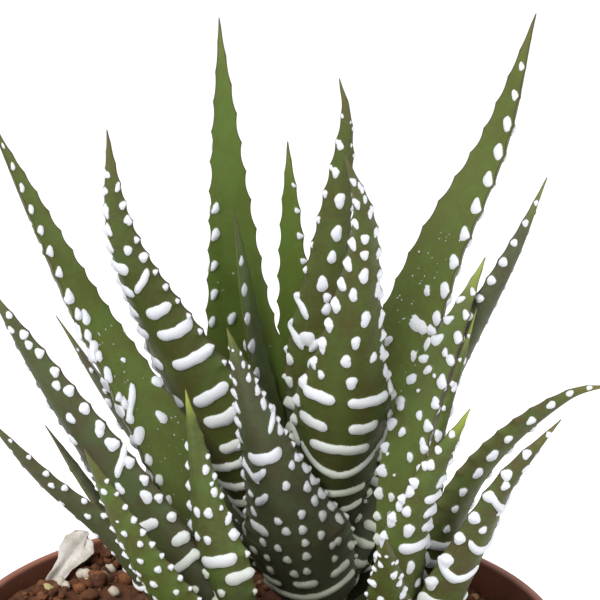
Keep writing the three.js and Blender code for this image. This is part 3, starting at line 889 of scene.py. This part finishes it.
def round_stone(detail):
    """The points and faces of a ball of triangles."""
    made = bmesh.new()
    bmesh.ops.create_icosphere(made, subdivisions=detail, radius=1)
    made.verts.ensure_lookup_table()
    points = np.array([vertex.co[:] for vertex in made.verts])
    faces = [[vertex.index for vertex in face.verts] for face in made.faces]
    made.free()
    return points, faces


def strew(name, grains, material, draw, rough, flat):
    """Many lumps joined in one piece. Each grain is its place, its size and its tone."""
    balls = {detail: round_stone(detail) for detail in (1, 2)}
    points, faces, tones = [], [], []
    first = 0
    for (x, y, z), size, tone in grains:
        ball, sides = balls[2 if size > FINER_FROM else 1]
        lumps = 1
        for most, share in LUMPS:
            waves = np.array([draw.uniform(-most, most) for _ in range(3)])
            lumps = lumps + rough * share * np.sin(ball @ waves + draw.random() * LUMP_PHASE)
        shape = ball * lumps[:, None] * [1, draw.uniform(LUMP_NARROWEST, 1), draw.uniform(flat, 1)]
        spin = Vector([draw.gauss(0, 1) for _ in range(3)]).normalized()
        turn = np.array(spin.rotation_difference(Vector((0, 0, 1))).to_matrix())
        points.append(shape @ turn.T * size + (x, y, z))
        faces += [[first + corner for corner in face] for face in sides]
        tones.append(np.full(len(ball), tone))
        first += len(ball)
    new_piece(name, np.vstack(points), faces, material, {"tone": np.concatenate(tones)}, "soil")


def clear_of_stems(x, y):
    """Whether a place on the soil is free of every stem."""
    return all(
        math.hypot(x - head["x"], y - head["y"]) > head["radius"] + STEM_ROOM for head in HEADS.values())


def crumb_pieces(settings, material):
    draw = random.Random(SEED + 1)
    edge = inside_radius(SOIL_TOP) - GAP
    grains = []
    while len(grains) < settings.crumbs:
        angle = draw.uniform(0, 2 * math.pi)
        size = CRUMB_LEAST + CRUMB_MORE * draw.random() ** CRUMB_POWER
        radius = (edge - size * CRUMB_ROOM) * math.sqrt(draw.uniform(*CRUMB_RING))
        x, y = math.cos(angle) * radius, math.sin(angle) * radius
        if not clear_of_stems(x, y):
            continue
        z = float(soil_height(x, y)) + size * draw.uniform(0, CRUMB_RAISED)
        grains.append(((x, y, z), size, draw.random()))
    while len(grains) < settings.crumbs + HEAPED_CRUMBS:
        x = HEAP_PLACE[0] + draw.gauss(0, HEAP_SPREAD)
        y = HEAP_PLACE[1] + draw.gauss(0, HEAP_SPREAD / 3)
        size = HEAP_LEAST + HEAP_MORE * draw.random()
        if y < HEAP_FRONT or math.hypot(x, y) > edge - size:
            continue
        near = math.exp(-((x - HEAP_PLACE[0]) / HEAP_SPREAD) ** 2)
        z = float(soil_height(x, y)) + HEAP_HEIGHT * near * draw.random()
        grains.append(((x, y, z), size, draw.random()))
    half = len(grains) // 2
    for name, some in (("soil_crumbs_one", grains[:half]), ("soil_crumbs_two", grains[half:])):
        strew(name, some, material, draw, rough=0.16, flat=0.6)


def grit_piece(material):
    draw = random.Random(SEED + 2)
    edge = inside_radius(SOIL_TOP) - GAP
    grains = []
    for number, (x, y, size) in enumerate(STONES):
        z = float(soil_height(x, y)) + size * STONE_RAISED
        grains.append(((x, y, z), size, (number * STONE_TONES) % 1))
    while len(grains) < GRIT_COUNT:
        angle = draw.uniform(0, 2 * math.pi)
        radius = edge * math.sqrt(draw.uniform(*GRIT_RING))
        x, y = math.cos(angle) * radius, math.sin(angle) * radius
        size = GRIT_LEAST + GRIT_MORE * draw.random() ** GRIT_POWER
        if clear_of_stems(x, y):
            z = float(soil_height(x, y)) + size * GRIT_RAISED
            grains.append(((x, y, z), size, draw.random()))
    strew("soil_grit", grains, material, draw, rough=0.07, flat=0.75)


# Dry scrap

def add_waves(start, share, side, waves):
    """A value with waves added: each has its height, and its angle along and across."""
    for height, along, across in waves:
        start = start + height * np.sin(share * along + side * across)
    return start


def scrap_piece(material):
    """A papery remnant: a thin ragged sheet with a fold along it and a notch in its upper edge."""
    rows = 60
    columns = 36
    share = np.linspace(0, 1, rows)[:, None]
    side = np.linspace(-1, 1, columns)[None, :]
    along = (SCRAP_TOP - SCRAP_FOOT).normalized()
    across = np.array(SCRAP_ACROSS)
    out = np.array(along.cross(SCRAP_ACROSS).normalized())
    width = np.interp(share, np.linspace(0, 1, len(SCRAP_WIDTHS)), SCRAP_WIDTHS)
    ragged = add_waves(1, share, side, SCRAP_RAGGED)
    near_edge = smooth(SCRAP_EDGE_FROM, 1, share)
    notch = SCRAP_NOTCH * np.exp(-((side - SCRAP_NOTCH_PLACE) / SCRAP_NOTCH_WIDTH) ** 2) * near_edge
    level = share - notch - SCRAP_ROUNDED * side ** 2 * near_edge
    foot = np.array(SCRAP_FOOT)
    top = np.array(SCRAP_TOP)
    centre = foot + (top - foot) * level[..., None]
    centre = centre + out * (np.sin(share * SCRAP_BEND_ANGLE) * SCRAP_BEND)[..., None]
    fold = add_waves(SCRAP_FOLD * (1 - np.abs(side)), share, side, SCRAP_CREASES)
    middle = centre + across * (side * width / 2 * ragged)[..., None] - out * fold[..., None]
    thick = SCRAP_THICK * (1 - SCRAP_THINNED * np.abs(side) ** SCRAP_THIN_POWER)[..., None]
    points = np.concatenate([middle + out * thick, (middle - out * thick)[:, ::-1]], 1)
    everything = np.vstack([points.reshape(-1, 3), points[0].mean(0), points[-1].mean(0)])
    faces = closed_skin(rows, columns * 2)
    piece = new_piece("fine_dry_scrap", everything, faces, material, None, "scrap")
    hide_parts("dry_scrap")


# Materials

SPECKLE_ROUGHNESS = 0.55
# Blender's own value, for a surface with a plain shine.
PLAIN_SHINE = 0.5
# A mottle's share of patches and of flecks, and the part of their sum that turns one colour into the other.
PATCH_SHARE = 0.65
FLECK_SHARE = 0.35
MOTTLE_TURN = (0.38, 0.62)
FINE_GRAIN_SHARE = 0.4

def feed(tree, socket, value):
    """Gives an input a number or a colour, or joins another node's socket to it."""
    if isinstance(value, bpy.types.NodeSocket):
        tree.links.new(value, socket)
    elif socket.type == "RGBA":
        socket.default_value = (*tuple(value)[:3], 1)
    else:
        socket.default_value = value


def node(tree, kind, inputs=None, **settings):
    """Adds a node, sets it up and feeds its inputs."""
    made = tree.nodes.new(kind)
    for name, value in settings.items():
        setattr(made, name, value)
    for key, value in (inputs or {}).items():
        feed(tree, made.inputs[key], value)
    return made


def blend(tree, share, one, other):
    """One colour turned into another by a share."""
    return node(tree, "ShaderNodeMix", {0: share, 6: one, 7: other}, data_type="RGBA").outputs[2]


def ramp(tree, value, low, high, start=0.0, end=1.0):
    """A value mapped smoothly from one range to another."""
    made = node(tree, "ShaderNodeMapRange", {
        "Value": value, "From Min": low, "From Max": high, "To Min": start, "To Max": end,
    }, interpolation_type="SMOOTHSTEP")
    return made.outputs[0]


def reading(tree, name):
    return node(tree, "ShaderNodeAttribute", attribute_name=name).outputs["Fac"]


def speckle(tree, scale, detail=3.0):
    """Soft noise over the object's own coordinates. Scale counts features to the metre."""
    place = node(tree, "ShaderNodeTexCoord").outputs["Object"]
    made = node(tree, "ShaderNodeTexNoise", {
        "Vector": place, "Scale": scale, "Detail": detail, "Roughness": SPECKLE_ROUGHNESS,
    })
    return made.outputs["Fac"]


def arithmetic(tree, operation, one, other):
    return node(tree, "ShaderNodeMath", {0: one, 1: other}, operation=operation).outputs[0]


def group_tree(name, inputs, outputs):
    """A new shader group with its sockets, and its input and output nodes."""
    tree = bpy.data.node_groups.new(name, "ShaderNodeTree")
    for label, kind, value in inputs:
        socket = tree.interface.new_socket(label, in_out="INPUT", socket_type=kind)
        socket.default_value = value
    for label, kind in outputs:
        tree.interface.new_socket(label, in_out="OUTPUT", socket_type=kind)
    return tree, tree.nodes.new("NodeGroupInput"), tree.nodes.new("NodeGroupOutput")


def mottle_group():
    """Two colours in soft patches, with finer flecks between them."""
    name = "soft_mottle"
    if name in bpy.data.node_groups:
        return bpy.data.node_groups[name]
    tree, taken, given = group_tree(name, [
        ("One", "NodeSocketColor", (1, 1, 1, 1)), ("Other", "NodeSocketColor", (0, 0, 0, 1)),
        ("Patches", "NodeSocketFloat", 120.0), ("Flecks", "NodeSocketFloat", 900.0),
    ], [("Colour", "NodeSocketColor"), ("Mask", "NodeSocketFloat")])
    patches = speckle(tree, taken.outputs["Patches"], 4)
    flecks = speckle(tree, taken.outputs["Flecks"], 2)
    both = arithmetic(tree, "ADD", arithmetic(tree, "MULTIPLY", patches, PATCH_SHARE),
                      arithmetic(tree, "MULTIPLY", flecks, FLECK_SHARE))
    mask = ramp(tree, both, *MOTTLE_TURN)
    tree.links.new(mask, given.inputs["Mask"])
    tree.links.new(blend(tree, mask, taken.outputs["One"], taken.outputs["Other"]), given.inputs["Colour"])
    return tree


def grain_group():
    """A height made of coarse and fine grain."""
    name = "surface_grain"
    if name in bpy.data.node_groups:
        return bpy.data.node_groups[name]
    tree, taken, given = group_tree(name, [
        ("Coarse", "NodeSocketFloat", 300.0), ("Fine", "NodeSocketFloat", 2500.0),
    ], [("Height", "NodeSocketFloat")])
    coarse = speckle(tree, taken.outputs["Coarse"], 4)
    fine = speckle(tree, taken.outputs["Fine"], 2)
    height = arithmetic(tree, "ADD", coarse, arithmetic(tree, "MULTIPLY", fine, FINE_GRAIN_SHARE))
    tree.links.new(height, given.inputs["Height"])
    return tree


def mottled(tree, one, other, patches, flecks):
    inputs = {"One": one, "Other": other, "Patches": patches, "Flecks": flecks}
    made = node(tree, "ShaderNodeGroup", inputs, node_tree=mottle_group())
    return made.outputs["Colour"], made.outputs["Mask"]


def waver(tree, scale, size):
    """Noise about nought."""
    return arithmetic(tree, "MULTIPLY", arithmetic(tree, "SUBTRACT", speckle(tree, scale), 0.5), size)


def finish_surface(tree, colour, roughness, coarse, fine, strength, depth, shine=PLAIN_SHINE):
    """Joins colour, roughness and a grained bump to the material's own shader."""
    shader = tree.nodes["Principled BSDF"]
    grain = node(tree, "ShaderNodeGroup", {"Coarse": coarse, "Fine": fine}, node_tree=grain_group())
    bump = node(tree, "ShaderNodeBump", {
        "Strength": strength, "Distance": depth * MM, "Height": grain.outputs["Height"],
    })
    tree.links.new(colour, shader.inputs["Base Color"])
    tree.links.new(roughness, shader.inputs["Roughness"])
    tree.links.new(bump.outputs[0], shader.inputs["Normal"])
    shader.inputs["Specular IOR Level"].default_value = shine


def fresh_material(name):
    material = bpy.data.materials.new(name)
    material.use_nodes = True
    return material, material.node_tree


# A leaf's colours: at its base, darker there as painted shade where the leaves crowd, along its body, at its
# tip, and mottled into the body.
LEAF_FINISHES = {
    "fresh": (linear(42, 52, 24), linear(68, 88, 31), linear(80, 88, 40), linear(64, 76, 25)),
    "green": (linear(38, 44, 26), linear(66, 81, 34), linear(76, 78, 38), linear(64, 66, 28)),
    "olive": (linear(36, 38, 24), linear(58, 69, 28), linear(72, 72, 38), linear(58, 57, 24)),
    "deep": (linear(62, 67, 50), linear(63, 71, 47), linear(92, 98, 44), linear(62, 59, 41)),
    "dusky": (linear(38, 36, 26), linear(55, 65, 36), linear(76, 74, 42), linear(56, 54, 32)),
    "bright": (linear(42, 47, 30), linear(64, 79, 34), linear(120, 130, 50), linear(62, 64, 30)),
    "brown": (linear(42, 34, 28), linear(62, 73, 32), linear(86, 82, 38), linear(62, 57, 32)),
}
INNER_TINT = linear(70, 82, 34)
MARGIN_LINE = linear(58, 40, 34)
# Where each colour starts and is full: by share of the leaf's length for the painted shade at its base, its
# tip and its shaded marks, and by millimetres from the margin or from a mark's edge for the others.
FOOT_SHADE_TURN = (0.35, 0.02)
TIP_TURN = (0.86, 1.0)
SHADE_TURN = (0.5, 0.08)
INNER_TURN = (0.1, -0.4)
LINE_TURN = (0.22, 0.04)
MARK_TURN = (-0.02, 0.09)


def leaf_material(finish, settings):
    """Green skin that changes along the leaf, with painted shade at its foot, brown at its margins, under
    white raised marks.
    """
    name = f"{finish}_leaf_skin"
    if name in bpy.data.materials:
        return bpy.data.materials[name]
    material, tree = fresh_material(name)
    base, body, tip, patch = LEAF_FINISHES[finish]
    along = reading(tree, "along")
    edge = reading(tree, "edge")
    height = arithmetic(tree, "ADD", along, waver(tree, 160, size=0.12))
    skin, _ = mottled(tree, body, patch, patches=240, flecks=1600)
    skin = blend(tree, ramp(tree, edge, *INNER_TURN, end=0.35), skin, INNER_TINT)
    # Painted shade: the skin darkens towards the leaf's foot, where it sits deep among the other leaves.
    skin = blend(tree, ramp(tree, height, *FOOT_SHADE_TURN), skin, base)
    skin = blend(tree, ramp(tree, height, *TIP_TURN), skin, tip)
    from_margin = node(tree, "ShaderNodeMath", {0: edge}, operation="ABSOLUTE").outputs[0]
    skin = blend(tree, ramp(tree, from_margin, *LINE_TURN, end=0.75), skin, MARGIN_LINE)
    frayed = waver(tree, 2600, size=0.16)
    mask = ramp(tree, arithmetic(tree, "ADD", reading(tree, "white"), frayed), *MARK_TURN)
    pale = blend(tree, ramp(tree, along, *SHADE_TURN), settings.white, settings.shaded_white)
    colour = blend(tree, mask, skin, pale)
    roughness = ramp(tree, speckle(tree, 700), 0.3, 0.7, start=0.42, end=0.6)
    finish_surface(tree, colour, roughness, coarse=900, fine=4200, strength=0.25, depth=0.12, shine=0.16)
    return material


def plastic_material(settings):
    material, tree = fresh_material("terracotta_plastic")
    darker = [c * 0.82 for c in settings.body]
    colour, mask = mottled(tree, settings.body, darker, patches=45, flecks=1400)
    place = node(tree, "ShaderNodeTexCoord").outputs["Object"]
    height = node(tree, "ShaderNodeSeparateXYZ", {0: place}).outputs["Z"]
    # Painted highlight: the top of the lip is turned, in patches, towards a paler colour.
    lip = ramp(tree, height, (POT_HEIGHT - 0.35) * MM, POT_HEIGHT * MM, 0, 0.5)
    lip = arithmetic(tree, "MULTIPLY", lip, ramp(tree, speckle(tree, 160), 0.25, 0.6, 0.55, 1))
    colour = blend(tree, lip, colour, settings.worn)
    roughness = ramp(tree, mask, 0, 1, start=0.42, end=0.56)
    finish_surface(tree, colour, roughness, coarse=260, fine=3200, strength=0.2, depth=0.12, shine=0.3)
    return material


def soil_material(settings):
    """Brown crumbs from damp to dry, by the tone that each crumb carries."""
    material, tree = fresh_material("peaty_soil")
    carried = reading(tree, "tone")
    tone = arithmetic(tree, "ADD", carried, arithmetic(tree, "SUBTRACT", speckle(tree, 700), 0.5))
    colour = blend(tree, ramp(tree, tone, 0.1, 1.0), settings.dark, settings.light)
    colour, _ = mottled(tree, colour, linear(86, 52, 32), patches=500, flecks=2600)
    roughness = ramp(tree, speckle(tree, 900), 0.3, 0.7, start=0.8, end=0.98)
    finish_surface(tree, colour, roughness, coarse=900, fine=3600, strength=0.7, depth=0.5, shine=0.15)
    return material


# The grit's first colour, and the tones over which it turns into each of the others.
GRIT_PALE = linear(168, 160, 146)
GRIT_TURNS = (
    (0.42, 0.46, linear(152, 142, 92)), (0.66, 0.7, linear(120, 88, 46)), (0.86, 0.9, linear(126, 58, 32)),
)


def grit_material():
    """White, pale yellow, ochre and reddish grains, by tone."""
    material, tree = fresh_material("mixed_grit")
    tone = reading(tree, "tone")
    colour = GRIT_PALE
    for low, high, shade in GRIT_TURNS:
        colour = blend(tree, ramp(tree, tone, low, high), colour, shade)
    dusty, _ = mottled(tree, colour, linear(120, 92, 66), patches=600, flecks=3000)
    colour = blend(tree, 0.3, colour, dusty)
    roughness = ramp(tree, speckle(tree, 800), 0.3, 0.7, start=0.6, end=0.85)
    finish_surface(tree, colour, roughness, coarse=700, fine=3600, strength=0.4, depth=0.3)
    return material


def plain_material(name, one, other, patches, flecks, rough, **grain):
    """Two colours in soft patches, with a roughness that follows them."""
    material, tree = fresh_material(name)
    colour, mask = mottled(tree, one, other, patches, flecks)
    finish_surface(tree, colour, ramp(tree, mask, 0, 1, *rough), **grain)
    return material


def scrap_material():
    return plain_material(
        "dry_husk", linear(176, 172, 166), linear(158, 150, 138), patches=260, flecks=2400,
        rough=(0.7, 0.9), coarse=600, fine=2600, strength=0.25, depth=0.2)


def stem_material():
    return plain_material(
        "short_stem", linear(104, 100, 56), linear(78, 60, 38), patches=200, flecks=1500,
        rough=(0.6, 0.8), coarse=500, fine=2600, strength=0.5, depth=0.3)


def floor_material(settings):
    darker = [c * 0.985 for c in settings.floor_colour]
    return plain_material(
        "pale_floor", settings.floor_colour, darker, patches=3, flecks=60,
        rough=(0.75, 0.85), coarse=40, fine=400, strength=0.02, depth=0.1)


# Operators

class HAWORTHIA_OT_leaves(bpy.types.Operator):
    """Builds every leaf of the three heads"""

    bl_idname = "haworthia.leaves"
    bl_label = "Leaves"

    def execute(self, context):
        for head_name, leaves in LEAVES.items():
            for leaf in leaves:
                leaf_piece(head_name, leaf, context.scene.haworthia_leaf)
        return {"FINISHED"}


class HAWORTHIA_OT_stems(bpy.types.Operator):
    """Gives the short stems their skin"""

    bl_idname = "haworthia.stems"
    bl_label = "Stems"

    def execute(self, context):
        material = stem_material()
        for head_name in HEADS:
            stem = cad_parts[f"{head_name}_stem"]
            stem.data.materials.clear()
            stem.data.materials.append(material)
        return {"FINISHED"}


class HAWORTHIA_OT_soil(bpy.types.Operator):
    """Builds the soil with its crumbs and grit"""

    bl_idname = "haworthia.soil"
    bl_label = "Soil"

    def execute(self, context):
        settings = context.scene.haworthia_soil
        material = soil_material(settings)
        soil_bed(material)
        crumb_pieces(settings, material)
        grit_piece(grit_material())
        return {"FINISHED"}


class HAWORTHIA_OT_pot(bpy.types.Operator):
    """Turns the pot and drills its drain holes"""

    bl_idname = "haworthia.pot"
    bl_label = "Pot"

    def execute(self, context):
        pot_piece(context.scene.haworthia_pot)
        return {"FINISHED"}


class HAWORTHIA_OT_scrap(bpy.types.Operator):
    """Builds the dry scrap on the soil"""

    bl_idname = "haworthia.scrap"
    bl_label = "Dry scrap"

    def execute(self, context):
        scrap_piece(scrap_material())
        return {"FINISHED"}


# Camera: it stands CAMERA_ABOVE degrees over the rim's centre, and is aimed and set aside so that
# the rim's centre falls on RIM_SEEN, a point of a picture that is PICTURE wide and high. SCALE_SEEN
# is the picture's points to the millimetre there.
PICTURE = 600
RIM_CENTRE = Vector((0, 0, 74))
RIM_SEEN = (259.3, 643)
SCALE_SEEN = 7.13
CAMERA_ABOVE = 25
SENSOR = 36
CLIP_FROM = 0.01
CLIP_TO = 50

# Light: a large soft key, a weaker fill and an even room.
LIT_PLACE = (0, 0, 90)
KEY_PLACE = (-350, -420, 620)
KEY_SIZE = 420
FILL_PLACE = (480, -300, 300)
FILL_SIZE = 500
FILL_SHARE = 0.3
ROOM_STRENGTH = 0.85


def camera_setting(distance):
    """The camera's place in millimetres, how far it looks down in degrees, and its lens."""
    focus = SCALE_SEEN * distance
    down = CAMERA_ABOVE - math.degrees(math.atan((RIM_SEEN[1] - PICTURE / 2) / focus))
    above = math.radians(CAMERA_ABOVE)
    aside = (PICTURE / 2 - RIM_SEEN[0]) / SCALE_SEEN
    place = RIM_CENTRE + Vector((aside, -math.cos(above) * distance, math.sin(above) * distance))
    return place, down, focus / PICTURE * SENSOR


def area_light(name, place, size, power):
    data = bpy.data.lights.new(name, "AREA")
    data.size = size * MM
    data.energy = power
    light = bpy.data.objects.new(name, data)
    light.location = Vector(place) * MM
    look = (Vector(LIT_PLACE) - Vector(place)).to_track_quat("-Z", "Y")
    light.rotation_euler = look.to_euler()
    bpy.context.scene.collection.objects.link(light)


class HAWORTHIA_OT_stage(bpy.types.Operator):
    """Sets up the floor, the soft light and the camera"""

    bl_idname = "haworthia.stage"
    bl_label = "Stage"

    def execute(self, context):
        settings = context.scene.haworthia_stage
        half = settings.floor_size / MM / 2
        corners = [(-half, -half, 0), (half, -half, 0), (half, half, 0), (-half, half, 0)]
        floor = new_piece("floor", corners, [(0, 1, 2, 3)], floor_material(settings))
        area_light("key_light", KEY_PLACE, KEY_SIZE, settings.key_power)
        area_light("fill_light", FILL_PLACE, FILL_SIZE, settings.key_power * FILL_SHARE)
        world = bpy.data.worlds.new("soft_room")
        world.use_nodes = True
        room = world.node_tree.nodes["Background"]
        room.inputs["Color"].default_value = (1, 1, 1, 1)
        room.inputs["Strength"].default_value = ROOM_STRENGTH
        context.scene.world = world
        data = bpy.data.cameras.new("camera")
        place, down, data.lens = camera_setting(settings.camera_distance / MM)
        data.sensor_width = SENSOR
        data.clip_start = CLIP_FROM
        data.clip_end = CLIP_TO
        camera = bpy.data.objects.new("camera", data)
        camera.location = place * MM
        camera.rotation_euler = (math.radians(90 - down), 0, 0)
        context.scene.collection.objects.link(camera)
        context.scene.camera = camera
        context.scene.view_settings.view_transform = "Standard"
        return {"FINISHED"}


OPERATORS = (
    HAWORTHIA_OT_pot, HAWORTHIA_OT_soil, HAWORTHIA_OT_scrap, HAWORTHIA_OT_stems,
    HAWORTHIA_OT_leaves, HAWORTHIA_OT_stage,
)


class HAWORTHIA_PT_panel(bpy.types.Panel):
    """Lists the pieces in the order in which they are built"""

    bl_label = "Haworthia"
    bl_idname = "HAWORTHIA_PT_panel"
    bl_space_type = "VIEW_3D"
    bl_region_type = "UI"
    bl_category = "Haworthia"

    def draw(self, context):
        for operator in OPERATORS:
            self.layout.operator(operator.bl_idname)
        for key in SETTINGS:
            box = self.layout.box()
            group = getattr(context.scene, f"haworthia_{key}")
            for name in group.__annotations__:
                box.prop(group, name)


SETTINGS = {"leaf": LeafSettings, "soil": SoilSettings, "pot": PotSettings, "stage": StageSettings}


def register():
    for group in SETTINGS.values():
        bpy.utils.register_class(group)
    for key, group in SETTINGS.items():
        setattr(bpy.types.Scene, f"haworthia_{key}", bpy.props.PointerProperty(type=group))
    for operator in (*OPERATORS, HAWORTHIA_PT_panel):
        bpy.utils.register_class(operator)


def unregister():
    for operator in reversed((*OPERATORS, HAWORTHIA_PT_panel)):
        bpy.utils.unregister_class(operator)
    for key in SETTINGS:
        delattr(bpy.types.Scene, f"haworthia_{key}")
    for group in SETTINGS.values():
        bpy.utils.unregister_class(group)


def main():
    register()
    bpy.ops.haworthia.pot()
    bpy.ops.haworthia.soil()
    bpy.ops.haworthia.scrap()
    bpy.ops.haworthia.stems()
    bpy.ops.haworthia.leaves()
    bpy.ops.haworthia.stage()


if __name__ == "__main__":
    main()
